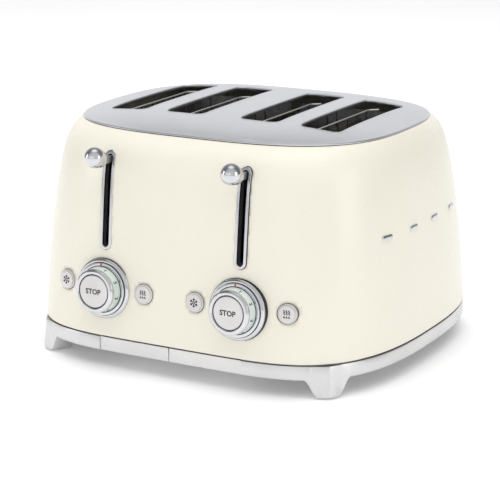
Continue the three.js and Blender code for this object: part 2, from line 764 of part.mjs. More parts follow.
const bounds = new THREE.Box3().setFromObject(assembly, true);
assembly.position.y = -(bounds.min.y + bounds.max.y) / 2;
const toaster = new THREE.Group();
toaster.add(assembly);

export default toaster;
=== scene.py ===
"""Looks of a four-slot pop-up toaster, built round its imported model.

Shapes are drawn in millimetres about the middle of the oval casing, with the floor at z = 0.
new_piece() turns them into the frame's metres.
"""
import math

import bmesh
import bpy
import numpy as np
from mathutils import Matrix, Vector
from mathutils.geometry import delaunay_2d_cdt


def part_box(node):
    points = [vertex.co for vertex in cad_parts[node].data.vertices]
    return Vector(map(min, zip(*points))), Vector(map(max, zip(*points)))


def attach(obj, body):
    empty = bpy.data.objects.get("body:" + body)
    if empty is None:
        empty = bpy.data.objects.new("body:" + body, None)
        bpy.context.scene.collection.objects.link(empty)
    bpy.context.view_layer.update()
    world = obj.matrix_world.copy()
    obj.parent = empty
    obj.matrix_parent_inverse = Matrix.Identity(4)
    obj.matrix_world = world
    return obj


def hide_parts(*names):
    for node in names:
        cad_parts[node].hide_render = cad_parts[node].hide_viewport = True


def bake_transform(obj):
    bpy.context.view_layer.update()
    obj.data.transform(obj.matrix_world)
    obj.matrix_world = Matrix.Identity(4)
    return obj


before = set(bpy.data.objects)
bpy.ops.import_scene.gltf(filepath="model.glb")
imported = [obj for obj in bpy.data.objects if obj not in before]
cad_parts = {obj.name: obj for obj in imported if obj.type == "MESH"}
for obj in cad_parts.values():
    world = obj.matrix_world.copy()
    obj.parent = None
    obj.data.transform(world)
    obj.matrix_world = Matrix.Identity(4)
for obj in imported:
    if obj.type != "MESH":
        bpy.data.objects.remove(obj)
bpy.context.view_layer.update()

MM = 0.001
scene = bpy.context.scene

# ---------- Places taken from the frame ----------
SHELL_LOW, SHELL_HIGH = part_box("body_shell")
MIDDLE_Y = (SHELL_LOW.y + SHELL_HIGH.y) / 2
HALF_WIDTH = (SHELL_HIGH.x - SHELL_LOW.x) / 2 / MM
HALF_DEPTH = (SHELL_HIGH.y - SHELL_LOW.y) / 2 / MM
SHELL_BOTTOM = SHELL_LOW.z / MM
SHELL_TOP = SHELL_HIGH.z / MM


def box_of(node):
    """Lowest and highest corner of a CAD node in millimetres about the middle of the casing."""
    low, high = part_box(node)
    shift = Vector((0, MIDDLE_Y, 0))
    return (low - shift) / MM, (high - shift) / MM


def middle_of(node):
    low, high = box_of(node)
    return (low + high) / 2


SIDES = (("left", -1), ("right", 1))
MODULE_X = middle_of("lever_bezel_right").x
SLOT_Y = middle_of("bread_rest_right_inner").y
BEZEL_LOW, BEZEL_HIGH = box_of("lever_bezel_right")

# ---------- Driving dimensions ----------
WIDTH_LEAN, WIDTH_SHOULDER, WIDTH_SHARPNESS = 17.05, 6.71, 16
DEPTH_LEAN, DEPTH_SHOULDER, DEPTH_SHARPNESS = 15.37, 20.05, 17.7
WIDTH_EXPONENTS = (4.72, 3.09)  # bottom and top
DEPTH_EXPONENTS = (2.64, 2.91)
CORNER_ANGLE = math.radians(53.1)
CROWN, PLATE_EDGE = 8.0, 1.3  # rise of the top's middle, and its edge above the casing
SLOT_HALF_WIDTH, SLOT_HALF_LENGTH, SLOT_RADIUS, SLOT_OFFSET = 18, 63.5, 7, 28.05
BAND_BOTTOM, BAND_TOP, BAND_WALL, LIP_INSET, LIP_TOP = 15.4, 27.4, 4.8, 2.6, 33
TRAY_HALF_OPENING = 67.6
TILT = math.radians(4)  # the controls face this much upwards
DIAL_Z, BUTTON_Z = 68.6, 69
INNER_BUTTON_X, OUTER_BUTTON_X = 24.3, 104.5
OUTER_BUTTON_TURN = math.radians(9)
BUTTON_FACE, STOP_FACE = 2.3, 16.4  # how far out of the casing these faces stand
DIAL_HOLE, BUTTON_HOLE, GLAND_HOLE = 8.0, 8.6, 7.0  # radii of holes in the casing
LEVER_HOLE_HALF_WIDTH = 4.6
BALL_RADIUS = 8.75


# ---------- The casing's outline ----------
def outline_sizes(z):
    """Half width, half depth and the two exponents of the oval at a height."""
    share = np.clip((z - SHELL_BOTTOM) / (SHELL_TOP - SHELL_BOTTOM), 0, 1)
    a = HALF_WIDTH - WIDTH_LEAN * share**2 - WIDTH_SHOULDER * share**WIDTH_SHARPNESS
    b = HALF_DEPTH - DEPTH_LEAN * share - DEPTH_SHOULDER * share**DEPTH_SHARPNESS
    n = WIDTH_EXPONENTS[0] + (WIDTH_EXPONENTS[1] - WIDTH_EXPONENTS[0]) * share
    m = DEPTH_EXPONENTS[0] + (DEPTH_EXPONENTS[1] - DEPTH_EXPONENTS[0]) * share
    return a, b, n, m


def casing_point(angle, z, inset=0.0):
    """Points of the oval at outline angles and heights, moved inwards by inset."""
    angle, z, inset = np.broadcast_arrays(np.asarray(angle, float), z, inset)
    a, b, n, m = outline_sizes(z)
    c, s = np.cos(angle), np.sin(angle)
    x = np.sign(c) * np.abs(c) ** (2 / n) * (a - inset)
    y = np.sign(s) * np.abs(s) ** (2 / m) * (b - inset)
    return np.stack([x, y, z], axis=-1)


def front_y(x, z):
    a, b, n, m = outline_sizes(z)
    return -b * (1 - np.minimum(np.abs(x / a), 0.999) ** n) ** (1 / m)


def side_x(y, z):
    a, b, n, m = outline_sizes(z)
    return a * (1 - np.abs(y / b) ** m) ** (1 / n)


# Distance round the outline at the casing's foot, from the middle of the right-hand side.
TABLE_ANGLES = np.linspace(0, 2 * np.pi, 20001)
TABLE_POINTS = casing_point(TABLE_ANGLES, SHELL_BOTTOM)
TABLE_LENGTHS = np.r_[0, np.cumsum(np.linalg.norm(np.diff(TABLE_POINTS, axis=0), axis=1))]
PERIMETER = TABLE_LENGTHS[-1]


def angle_at(length):
    return np.interp(length, TABLE_LENGTHS, TABLE_ANGLES)


def length_at(angle):
    return np.interp(angle, TABLE_ANGLES, TABLE_LENGTHS)


def length_of(x, z, front=True):
    """Distance round the outline of a point on the front or the rear of the casing."""
    a, _, n, _ = outline_sizes(z)
    c = np.sign(x) * np.abs(x / a) ** (n / 2)
    s = np.sqrt(1 - c * c)
    angle = np.arctan2(-s if front else s, c)
    return length_at(np.mod(angle, 2 * np.pi))


# ---------- Shapes: lists of points and faces ----------
def merged(*shapes):
    points, faces = [], []
    for some, theirs in shapes:
        start = len(points)
        points.extend(some)
        faces.extend([tuple(i + start for i in face) for face in theirs])
    return points, faces


def loft(rings, around=True, along=False, caps=False):
    """Faces between rings of equal length; around closes each ring, along joins last to first."""
    count = len(rings[0])
    points = [tuple(p) for ring in rings for p in ring]
    faces = []
    for i in range(len(rings) if along else len(rings) - 1):
        here, there = i * count, (i + 1) % len(rings) * count
        for j in range(count if around else count - 1):
            k = (j + 1) % count
            faces.append((here + j, here + k, there + k, there + j))
    if caps:
        last = (len(rings) - 1) * count
        faces.append(tuple(reversed(range(count))))
        faces.append(tuple(range(last, last + count)))
    return points, faces


def revolve(profile, matrix, segments=64):
    """A profile of (radius, distance along the axis) points turned about a matrix's third axis."""
    turns = np.linspace(0, 2 * np.pi, segments, endpoint=False)
    rings = []
    for radius, along in profile:
        ring = [(radius * math.cos(t), radius * math.sin(t), along) for t in turns]
        rings.append([matrix @ Vector(p) for p in ring])
    return loft(rings)


def filleted(corners, steps=4):
    """A path of (across, along, radius) corners with its corners rounded."""
    path = []
    for i, (x, y, radius) in enumerate(corners):
        here = Vector((x, y))
        if radius == 0 or i in (0, len(corners) - 1):
            path.append((x, y))
            continue
        before = (Vector(corners[i - 1][:2]) - here).normalized()
        after = (Vector(corners[i + 1][:2]) - here).normalized()
        half = before.angle(after) / 2
        reach = radius / math.tan(half)
        start, end = here + before * reach, here + after * reach
        for k in range(steps + 1):
            t = k / steps
            point = start.lerp(here, t).lerp(here.lerp(end, t), t)
            path.append((point.x, point.y))
    return path


def rounded_rectangle(half_x, half_y, radius, corner_steps=8, side_x_steps=1, side_y_steps=1):
    """Points of a rounded rectangle, anticlockwise from the lower right corner."""
    x, y = half_x - radius, half_y - radius
    arcs = []
    for quarter, (cx, cy) in enumerate(((x, -y), (x, y), (-x, y), (-x, -y))):
        turns = np.linspace(-np.pi / 2, 0, corner_steps + 1) + quarter * np.pi / 2
        arcs.append(np.stack([cx + radius * np.cos(turns), cy + radius * np.sin(turns)], axis=1))
    loop = []
    for quarter, arc in enumerate(arcs):
        loop.append(arc)
        following = arcs[(quarter + 1) % 4][0]
        steps = side_x_steps if quarter % 2 else side_y_steps
        shares = np.linspace(0, 1, steps + 1)[1:-1, None]
        loop.append(arc[-1] + (following - arc[-1]) * shares)
    return np.vstack(loop)


def tube(path, radius, sides=8):
    """A round wire along a path, with capped ends."""
    path = [Vector(p) for p in path]
    rings = []
    up = Vector((0.31, 0.17, 0.93))  # any direction that no wire here follows
    for i, point in enumerate(path):
        ahead = (path[min(i + 1, len(path) - 1)] - path[max(i - 1, 0)]).normalized()
        across = ahead.cross(up).normalized()
        up = across.cross(ahead).normalized()
        turns = np.linspace(0, 2 * np.pi, sides, endpoint=False)
        rings.append([point + (across * math.cos(t) + up * math.sin(t)) * radius for t in turns])
    return loft(rings, caps=True)


def inside(loop, points):
    """Which points lie inside a closed loop."""
    x, y = points[:, 0], points[:, 1]
    odd = np.zeros(len(points), bool)
    for (x0, y0), (x1, y1) in zip(loop, np.roll(loop, -1, axis=0), strict=True):
        crosses = (y0 > y) != (y1 > y)
        odd ^= crosses & (x < (x1 - x0) * (y - y0) / (y1 - y0 + 1e-12) + x0)
    return odd


def distance_to(loop, points):
    """Distance from each point to the nearest side of a closed loop."""
    best = np.full(len(points), 1e9)
    for start, end in zip(loop, np.roll(loop, -1, axis=0), strict=True):
        side = end - start
        share = np.clip((points - start) @ side / max(side @ side, 1e-12), 0, 1)
        best = np.minimum(best, np.linalg.norm(points - start - share[:, None] * side, axis=1))
    return best


def filled(outer, holes, inner, margin=0.6):
    """Triangles inside an outer loop and outside the holes, over inner points as well."""
    keep = inside(outer, inner) & (distance_to(outer, inner) > margin)
    for hole in holes:
        keep &= ~inside(hole, inner) & (distance_to(hole, inner) > margin)
    points, edges = [], []
    for loop in (outer, *holes):
        start, count = len(points), len(loop)
        points.extend(loop.tolist())
        edges.extend([(start + i, start + (i + 1) % count) for i in range(count)])
    points.extend(inner[keep].tolist())
    got = delaunay_2d_cdt([Vector(p) for p in points], edges, [], 0, 1e-5)
    points = np.array([tuple(p) for p in got[0]])
    faces = [tuple(f) for f in got[2]]
    centres = np.array([points[list(f)].mean(0) for f in faces])
    good = inside(outer, centres)
    for hole in holes:
        good &= ~inside(hole, centres)
    return points, [f for f, wanted in zip(faces, good, strict=True) if wanted]


def pierced_grid(columns, rows, holes):
    """A grid of quads with holes in it, as flat points and faces."""
    solid = np.ones((len(columns) - 1, len(rows) - 1), bool)
    shapes = []
    for hole in holes:
        first = np.searchsorted(columns, hole[:, 0].min()) - 2
        last = np.searchsorted(columns, hole[:, 0].max()) + 1
        low = max(np.searchsorted(rows, hole[:, 1].min()) - 2, 0)
        high = np.searchsorted(rows, hole[:, 1].max()) + 1
        solid[first:last, low:high] = False
        across, up = columns[first : last + 1], rows[low : high + 1]
        outer = [(c, up[0]) for c in across] + [(across[-1], r) for r in up[1:]]
        outer += [(c, up[-1]) for c in across[-2::-1]] + [(across[0], r) for r in up[-2:0:-1]]
        inner = np.array([(c, r) for c in across[1:-1] for r in up[1:-1]])
        shapes.append(filled(np.array(outer), [hole], inner))
    count = len(rows)
    points = [(c, r) for c in columns for r in rows]
    faces = []
    for i, j in np.argwhere(solid):
        corner = int(i * count + j)
        faces.append((corner, corner + count, corner + count + 1, corner + 1))
    return merged((points, faces), *shapes)


# ---------- Pieces ----------
def new_piece(name, shape, material, body, replaces=(), sharp=35, wall=None):
    """A mesh object of a shape, riding on a body; wall thickens an open sheet inwards."""
    points, faces = shape
    at = [(p[0] * MM, p[1] * MM + MIDDLE_Y, p[2] * MM) for p in points]
    mesh = bpy.data.meshes.new(name)
    mesh.from_pydata(at, [], faces)
    tidy_mesh(mesh)
    mesh.polygons.foreach_set("use_smooth", [True] * len(mesh.polygons))
    mesh.set_sharp_from_angle(angle=math.radians(sharp))
    mesh.materials.append(material)
    piece = bpy.data.objects.new(name, mesh)
    scene.collection.objects.link(piece)
    if wall:
        sheet = piece.modifiers.new("wall", "SOLIDIFY")
        sheet.thickness = wall * MM
        sheet.offset = -1
    if body:
        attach(piece, body)
    if replaces:
        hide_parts(*replaces)
    return piece


def tidy_mesh(mesh):
    """Joins points that share a place, drops unused ones and turns all faces outwards."""
    work = bmesh.new()
    work.from_mesh(mesh)
    bmesh.ops.remove_doubles(work, verts=work.verts, dist=1e-7)
    bmesh.ops.dissolve_degenerate(work, edges=work.edges, dist=1e-8)
    loose = [v for v in work.verts if not v.link_faces]
    bmesh.ops.delete(work, geom=loose, context="VERTS")
    bmesh.ops.recalc_face_normals(work, faces=work.faces)
    work.to_mesh(mesh)
    work.free()


def lettering(text, size, depth, place):
    """A word or figure as a solid shape; place maps its flat (x, y, height) points."""
    curve = bpy.data.curves.new(text, "FONT")
    curve.body = text
    curve.size = size
    curve.extrude = depth / 2
    curve.offset = size * 0.03
    curve.align_x = "CENTER"
    curve.align_y = "CENTER"
    curve.resolution_u = 3
    holder = bpy.data.objects.new(text, curve)
    scene.collection.objects.link(holder)
    bpy.context.view_layer.update()
    mesh = bpy.data.meshes.new_from_object(holder)
    points = [place(v.co.x, v.co.y, v.co.z + depth / 2) for v in mesh.vertices]
    faces = [tuple(p.vertices) for p in mesh.polygons]
    bpy.data.objects.remove(holder)
    bpy.data.curves.remove(curve)
    bpy.data.meshes.remove(mesh)
    return points, faces


# ---------- Materials ----------
def ramp_of(tree, source, low, high):
    """Colour that goes from low to high over the middle of a noise's range."""
    ramp = tree.nodes.new("ShaderNodeValToRGB")
    ramp.color_ramp.elements[0].position = 0.3
    ramp.color_ramp.elements[1].position = 0.7
    ramp.color_ramp.elements[0].color = low
    ramp.color_ramp.elements[1].color = high
    tree.links.new(source, ramp.inputs["Fac"])
    return ramp.outputs["Color"]


def noise_of(tree, scale, stretch, detail=4.0):
    """Noise in the object's own metres; stretch scales it along each axis."""
    place = tree.nodes.new("ShaderNodeTexCoord")
    mapping = tree.nodes.new("ShaderNodeMapping")
    mapping.inputs["Scale"].default_value = stretch
    noise = tree.nodes.new("ShaderNodeTexNoise")
    noise.inputs["Scale"].default_value = scale
    noise.inputs["Detail"].default_value = detail
    tree.links.new(place.outputs["Object"], mapping.inputs["Vector"])
    tree.links.new(mapping.outputs["Vector"], noise.inputs["Vector"])
    return noise.outputs["Fac"]


def surface(name, dark, light, rough, metal=0.0, scale=60, stretch=(1, 1, 1), grain=900,
            bump=0.05, coat=0.0):
    """A material with broad changes of colour, and a fine grain in its roughness and bump."""
    material = bpy.data.materials.new(name)
    material.use_nodes = True
    tree = material.node_tree
    shader = tree.nodes["Principled BSDF"]
    shader.inputs["Metallic"].default_value = metal
    shader.inputs["Coat Weight"].default_value = coat
    shader.inputs["Coat Roughness"].default_value = 0.06
    broad = noise_of(tree, scale, (1, 1, 1))
    fine = noise_of(tree, grain, stretch, detail=2.0)
    tree.links.new(ramp_of(tree, broad, (*dark, 1), (*light, 1)), shader.inputs["Base Color"])
    grey = ((rough[0],) * 3 + (1,), (rough[1],) * 3 + (1,))
    tree.links.new(ramp_of(tree, fine, *grey), shader.inputs["Roughness"])
    relief = tree.nodes.new("ShaderNodeBump")
    relief.inputs["Strength"].default_value = bump
    relief.inputs["Distance"].default_value = 0.0002
    tree.links.new(fine, relief.inputs["Height"])
    tree.links.new(relief.outputs["Normal"], shader.inputs["Normal"])
    return material


def cream_enamel():
    return surface("cream_enamel", (0.775, 0.742, 0.638), (0.796, 0.762, 0.66), (0.27, 0.31),
                   scale=9, grain=900, bump=0.006, coat=0.18)


def brushed_top():
    return surface("brushed_top", (0.73, 0.745, 0.785), (0.78, 0.795, 0.83), (0.28, 0.38), metal=1,
                   scale=14, stretch=(0.05, 1, 1), grain=1500, bump=0.06)


def polished_chrome():
    return surface("polished_chrome", (0.60, 0.605, 0.63), (0.66, 0.665, 0.69), (0.06, 0.13), metal=1,
                   scale=25, grain=700, bump=0.02)


def satin_band():
    return surface("satin_band", (0.60, 0.60, 0.605), (0.68, 0.675, 0.675), (0.30, 0.40), metal=1,
                   scale=20, stretch=(1, 1, 0.06), grain=1400, bump=0.05)


def satin_cap():
    return surface("satin_cap", (0.62, 0.605, 0.60), (0.68, 0.665, 0.655), (0.34, 0.44), metal=0.6,
                   scale=60, grain=1600, bump=0.06)


def zinc_sheet():
    return surface("zinc_sheet", (0.34, 0.345, 0.35), (0.52, 0.525, 0.53), (0.40, 0.58), metal=1,
                   scale=220, grain=500, bump=0.08)


def drawn_wire():
    return surface("drawn_wire", (0.66, 0.64, 0.58), (0.76, 0.74, 0.68), (0.25, 0.38), metal=0.85,
                   scale=80, stretch=(1, 1, 0.1), grain=1200, bump=0.05)


def spring_wire():
    return surface("spring_wire", (0.30, 0.31, 0.33), (0.42, 0.43, 0.45), (0.25, 0.40), metal=1,
                   scale=120, grain=1500, bump=0.05)


def heater_mica():
    return surface("heater_mica", (0.10, 0.085, 0.07), (0.17, 0.145, 0.12), (0.45, 0.70),
                   scale=70, stretch=(1, 0.3, 1), grain=600, bump=0.12)


def heater_ribbon():
    return surface("heater_ribbon", (0.10, 0.09, 0.085), (0.18, 0.16, 0.15), (0.40, 0.60), metal=0.8,
                   scale=90, grain=1200, bump=0.08)


def board_green():
    return surface("board_green", (0.02, 0.09, 0.045), (0.03, 0.12, 0.06), (0.30, 0.45),
                   scale=140, grain=900, bump=0.06, coat=0.3)


def black_moulding():
    return surface("black_moulding", (0.008, 0.008, 0.008), (0.018, 0.018, 0.018), (0.35, 0.55),
                   scale=60, grain=1100, bump=0.10)


def soft_rubber():
    return surface("soft_rubber", (0.012, 0.012, 0.012), (0.03, 0.03, 0.03), (0.65, 0.90),
                   scale=90, grain=800, bump=0.20)


def printed_black():
    return surface("printed_black", (0.006, 0.006, 0.007), (0.012, 0.012, 0.012), (0.35, 0.50),
                   scale=200, grain=1500, bump=0.05)


def printed_red():
    return surface("printed_red", (0.45, 0.03, 0.02), (0.62, 0.05, 0.03), (0.35, 0.50),
                   scale=200, grain=1500, bump=0.05)


def mint_scale():
    return surface("mint_scale", (0.60, 0.68, 0.64), (0.66, 0.74, 0.70), (0.30, 0.42),
                   scale=90, grain=1300, bump=0.05)


ENAMEL, TOP, CHROME, BAND = cream_enamel(), brushed_top(), polished_chrome(), satin_band()
CAP, ZINC, WIRE, SPRING = satin_cap(), zinc_sheet(), drawn_wire(), spring_wire()
MICA, RIBBON, BOARD, BLACK = heater_mica(), heater_ribbon(), board_green(), black_moulding()
RUBBER, INK, RED, MINT = soft_rubber(), printed_black(), printed_red(), mint_scale()


# ---------- Camera ----------
def make_camera():
    """The photograph's view of the toaster."""
    azimuth, elevation, roll = math.radians(29.64), math.radians(15.37), math.radians(-0.43)
    distance = 1.65432
    target = Vector((-0.00713, MIDDLE_Y, 0.0734))
    data = bpy.data.cameras.new("camera")
    data.lens = 136.25
    data.sensor_width = 36
    camera = bpy.data.objects.new("camera", data)
    scene.collection.objects.link(camera)
    flat = math.cos(elevation)
    back = Vector((math.sin(azimuth) * flat, -math.cos(azimuth) * flat, math.sin(elevation)))
    camera.location = target + back * distance
    turn = (-back).to_track_quat("-Z", "Y").to_matrix().to_4x4() @ Matrix.Rotation(roll, 4, "Z")
    camera.rotation_mode = "QUATERNION"
    camera.rotation_quaternion = turn.to_quaternion()
    scene.camera = camera


# ---------- Casing ----------
def front_frame(x, z, turn=0.0):
    """Matrix at the casing's front surface: columns to the right, up and out of the front."""
    c, s = math.cos(TILT), math.sin(TILT)
    right = Vector((math.cos(turn), math.sin(turn), 0))
    out = Vector((math.sin(turn) * c, -math.cos(turn) * c, s))
    up = out.cross(right)
    matrix = Matrix((right, up, out)).transposed().to_4x4()
    matrix.translation = Vector((x, float(front_y(x, z)), z))
    return matrix


def button_places():
    """Name, place along the front and turn of each small button."""
    places = []
    for side, sign in SIDES:
        for kind in ("defrost", "reheat"):
            name = f"{kind}_button_{side}"
            outer = abs(middle_of(name).x) > MODULE_X
            x = sign * (OUTER_BUTTON_X if outer else INNER_BUTTON_X)
            places.append((name, x, sign * OUTER_BUTTON_TURN if outer else 0.0))
    return places


def casing_holes():
    """Loops of (distance round the outline, height) for each opening in the casing."""
    turns = np.linspace(0, 2 * np.pi, 40, endpoint=False)
    rounds = [(side * MODULE_X, DIAL_Z, DIAL_HOLE) for _, side in SIDES]
    rounds += [(x, BUTTON_Z, BUTTON_HOLE) for _, x, _ in button_places()]
    loops = []
    for x, z, radius in rounds:
        xs, zs = x + radius * np.cos(turns), z + radius * np.sin(turns)
        loops.append(np.stack([length_of(xs, zs), zs], axis=1))
    half_height = (BEZEL_HIGH.z - BEZEL_LOW.z) / 2 - 0.9
    for _, side in SIDES:
        pill = rounded_rectangle(LEVER_HOLE_HALF_WIDTH, half_height, LEVER_HOLE_HALF_WIDTH - 0.01,
                                 10, 1, 24)
        xs, zs = pill[:, 0] + side * MODULE_X, pill[:, 1] + (BEZEL_HIGH.z + BEZEL_LOW.z) / 2
        loops.append(np.stack([length_of(xs, zs), zs], axis=1))
    xs = GLAND_HOLE * np.cos(turns)
    zs = middle_of("cord_gland").z + GLAND_HOLE * np.sin(turns)
    loops.append(np.stack([length_of(xs, zs, front=False), zs], axis=1))
    return loops


COLUMNS = np.linspace(0, PERIMETER, 321)


def add_casing():
    """Enamelled wall with its holes, a rounded shoulder and a turned-in foot."""
    edge = 1.2
    levels = 1 - (1 - np.linspace(0, 1, 60)) ** 1.8  # closer together towards the shoulder
    low, high = SHELL_BOTTOM + 0.5, SHELL_TOP - edge
    rows = low + levels * (high - low)
    flat, faces = pierced_grid(COLUMNS, rows, casing_holes())
    flat = np.array(flat)
    wall = casing_point(angle_at(flat[:, 0]), flat[:, 1]), faces
    angles = angle_at(COLUMNS)
    rings = []
    for turn in np.linspace(0, np.pi / 2, 6):
        z = high + edge * math.sin(turn)
        rings.append(casing_point(angles, z, edge * (1 - math.cos(turn))))
    shoulder = loft(rings, around=False)
    foot = loft([casing_point(angles, low), casing_point(angles, SHELL_BOTTOM + 0.1, 0.15),
                 casing_point(angles, SHELL_BOTTOM, 0.6)], around=False)
    new_piece("casing", merged(wall, shoulder, foot), ENAMEL, "housing",
              ["body_shell"], wall=1.1)


def add_gasket():
    # Black ring in the gap under the top's edge: painted shade for that gap.
    angles = angle_at(COLUMNS)
    section = [(1.9, SHELL_TOP - 2), (1.9, SHELL_TOP + 0.9), (4, SHELL_TOP + 0.9), (4, SHELL_TOP - 2)]
    rings = [casing_point(angles[:-1], z, inset) for inset, z in section]
    new_piece("edge_gap_shade", loft(rings, along=True), RUBBER, "housing")


# ---------- Top ----------
def crown_height(points):
    """Height of the top's outer face over points of the plan."""
    a, b, n, m = outline_sizes(SHELL_TOP)
    low, high = np.full(len(points), 1e-3), np.full(len(points), 1.2)
    for _ in range(40):
        share = (low + high) / 2
        x, y = np.abs(points[:, 0]) / (share * a), np.abs(points[:, 1]) / (share * b)
        outside = x**n + y**m > 1
        low, high = np.where(outside, share, low), np.where(outside, high, share)
    return SHELL_TOP + PLATE_EDGE + CROWN * (1 - np.minimum(low, 1) ** 4)


def slot_places():
    """Side, its sign, place and X of each bread slot."""
    return [(side, sign, place, sign * (MODULE_X + offset))
            for side, sign in SIDES
            for place, offset in (("inner", -SLOT_OFFSET), ("outer", SLOT_OFFSET))]


def slot_loop(x, grow):
    loop = rounded_rectangle(SLOT_HALF_WIDTH + grow, SLOT_HALF_LENGTH + grow, SLOT_RADIUS + grow,
                             8, 6, 24)
    return loop + (x, SLOT_Y)


def add_top():
    edge_roll, edge_inset = 1.7, 0.35
    # Outwards from the slot's edge, and up from the crown.
    lip = [(2.2, 0), (1.7, 0.15), (1.1, 0.3), (0.5, 0.25), (0.1, -0.1), (0, -0.6), (0, -2.6)]
    angles = angle_at(COLUMNS)[:-1]
    rim = casing_point(angles, SHELL_TOP, edge_inset + edge_roll)[:, :2]
    holes = [slot_loop(x, lip[0][0]) for _, _, _, x in slot_places()]
    step = 4.0
    xs, ys = np.arange(-HALF_WIDTH, HALF_WIDTH, step), np.arange(-HALF_DEPTH, HALF_DEPTH, step)
    inner = np.array([(x, y) for x in xs for y in ys])
    flat, faces = filled(rim, holes, inner, margin=1.2)
    sheet = np.column_stack([flat, crown_height(flat)]), faces
    rim_z = crown_height(rim)
    rings = []
    for turn in np.linspace(0, np.pi / 2, 7):
        ring = casing_point(angles, SHELL_TOP, edge_inset + edge_roll * (1 - math.sin(turn)))
        ring[:, 2] = rim_z - edge_roll * 0.75 * (1 - math.cos(turn))
        rings.append(ring)
    shapes = [sheet, loft(rings)]
    for _, _, _, x in slot_places():
        base = crown_height(slot_loop(x, lip[0][0]))
        rings = []
        for grow, rise in lip:
            rings.append(np.column_stack([slot_loop(x, grow), base + rise]))
        shapes.append(loft(rings))
    new_piece("top_cover", merged(*shapes), TOP, "housing", ["top_plate"],
              sharp=50, wall=0.6)


# ---------- Base ----------
def smooth_step(value, start, end):
    t = np.clip((value - start) / (end - start), 0, 1)
    return t * t * (3 - 2 * t)


FOOT_FLAT, FOOT_SPREAD = 8.7, 19.6  # either side of the corner, along the outline
FOOT_DEPTH, FOOT_LEAN, FOOT_BOTTOM, FOOT_ROOT = 14, 1.8, 1.2, 17.4
CREASE, CREASE_REACH = 2.2, 12
FOOT_STEP, FOOT_STEPS = 1.4, 15  # spacing and number of sections, each side of a corner


def corner_lengths():
    """Distance round the outline of each foot's corner."""
    angles = [CORNER_ANGLE, math.pi - CORNER_ANGLE, math.pi + CORNER_ANGLE, 2 * math.pi - CORNER_ANGLE]
    return np.array([length_at(a) for a in angles])


def base_section(length):
    """Closed section of the base band at a distance round the outline, feet included."""
    off = np.abs((length - corner_lengths() + PERIMETER / 2) % PERIMETER - PERIMETER / 2).min()
    foot = 1 - smooth_step(off, FOOT_FLAT, FOOT_SPREAD)
    low = BAND_BOTTOM + (FOOT_BOTTOM - BAND_BOTTOM) * foot
    lean = FOOT_LEAN * max(0, 1 - off / FOOT_SPREAD)
    ridge = CREASE * max(0, 1 - off / CREASE_REACH)
    depth = BAND_WALL + (FOOT_DEPTH - BAND_WALL) * smooth_step(foot, 0.05, 0.5)
    middle = (low + BAND_TOP) / 2
    return [
        (LIP_INSET, LIP_TOP), (LIP_INSET, BAND_TOP), (1.0, BAND_TOP), (0.3 - ridge, BAND_TOP - 0.25),
        (-ridge, BAND_TOP - 0.9), (-ridge, BAND_BOTTOM + 4), (-ridge - lean * 0.35, middle - 2),
        (-ridge - lean, low + 0.9), (-ridge - lean + 0.25, low + 0.25), (-ridge - lean + 0.9, low),
        (depth - 0.6, low), (depth, low + 0.6), (depth, max(low + 1, FOOT_ROOT)),
        (BAND_WALL, max(low + 1.1, FOOT_ROOT + 0.1)), (BAND_WALL, LIP_TOP),
    ]


def band_lengths(start, end):
    """Distances round the outline from start to end, with a place at each foot's crease."""
    lengths = set(np.linspace(start, end, 260).tolist())
    for corner in corner_lengths():
        for lap in (0, -PERIMETER):
            for k in range(-FOOT_STEPS, FOOT_STEPS + 1):
                lengths.add(float(corner + k * FOOT_STEP + lap))
    return sorted(x for x in lengths if start <= x <= end)


def add_base_band():
    """Band with its four feet, open at the trays, and a thin strip above the trays."""
    right = float(length_of(TRAY_HALF_OPENING, SHELL_BOTTOM)) - PERIMETER
    left = float(length_of(-TRAY_HALF_OPENING, SHELL_BOTTOM))
    sections = []
    for length in band_lengths(right, left):
        section = base_section(length % PERIMETER)
        angle = angle_at(length % PERIMETER)
        sections.append([casing_point(angle, z, inset) for inset, z in section])
    band = loft([sections[0], *sections, sections[-1]], caps=True)
    over = np.linspace(left, right + PERIMETER, 60)
    strip_section = [(LIP_INSET, BAND_TOP + 0.6), (LIP_INSET, LIP_TOP), (BAND_WALL, LIP_TOP),
                     (BAND_WALL, BAND_TOP + 0.6)]
    strip = loft([[casing_point(angle_at(x), z, inset) for inset, z in strip_section] for x in over],
                 caps=True)
    new_piece("base_band", merged(band, strip), BAND, "housing", ["base_ring"],
              sharp=28)


def tray_front(sign):
    """A tray's front: a folded strip that carries on the band."""
    recess, sheet, low = 1.0, 1.2, BAND_BOTTOM + 0.1
    section = filleted([(recess + 0.6, low, 0), (recess, low, 0.5), (recess, BAND_TOP, 0.5),
                        (recess + sheet, BAND_TOP, 0.4), (recess + sheet, low, 0.4),
                        (recess + 0.6, low, 0)])[:-1]
    rings = []
    for x in sign * np.linspace(0.35, TRAY_HALF_OPENING - 0.5, 40):
        y = float(front_y(x, SHELL_BOTTOM))
        rings.append([(x, y + inset, z) for inset, z in section])
    return loft(rings, caps=True)


def tray_pan(sign):
    """A tray's shallow pan, with rounded corners."""
    near, far, front, rear, corner = 1.3, 66.4, -146.0, 95.0, 3
    centre = np.array((sign * (near + far) / 2, (front + rear) / 2))
    half_x, half_y = (far - near) / 2, (rear - front) / 2
    rings = []
    for shrink, z in ((1.5, 16.5), (0.4, 16.8), (0, 17.6), (0, 23.8), (1.0, 23.8), (1.0, 18.0),
                      (1.3, 17.6), (2.2, 17.4)):
        loop = rounded_rectangle(half_x - shrink, half_y - shrink, corner) + centre
        rings.append(np.column_stack([loop, np.full(len(loop), z)]))
    return loft(rings, caps=True)


def add_crumb_trays():
    for side, sign in SIDES:
        new_piece(f"tray_{side}", merged(tray_front(sign), tray_pan(sign)), BAND, f"tray_{side}",
                  [f"crumb_tray_{side}"])


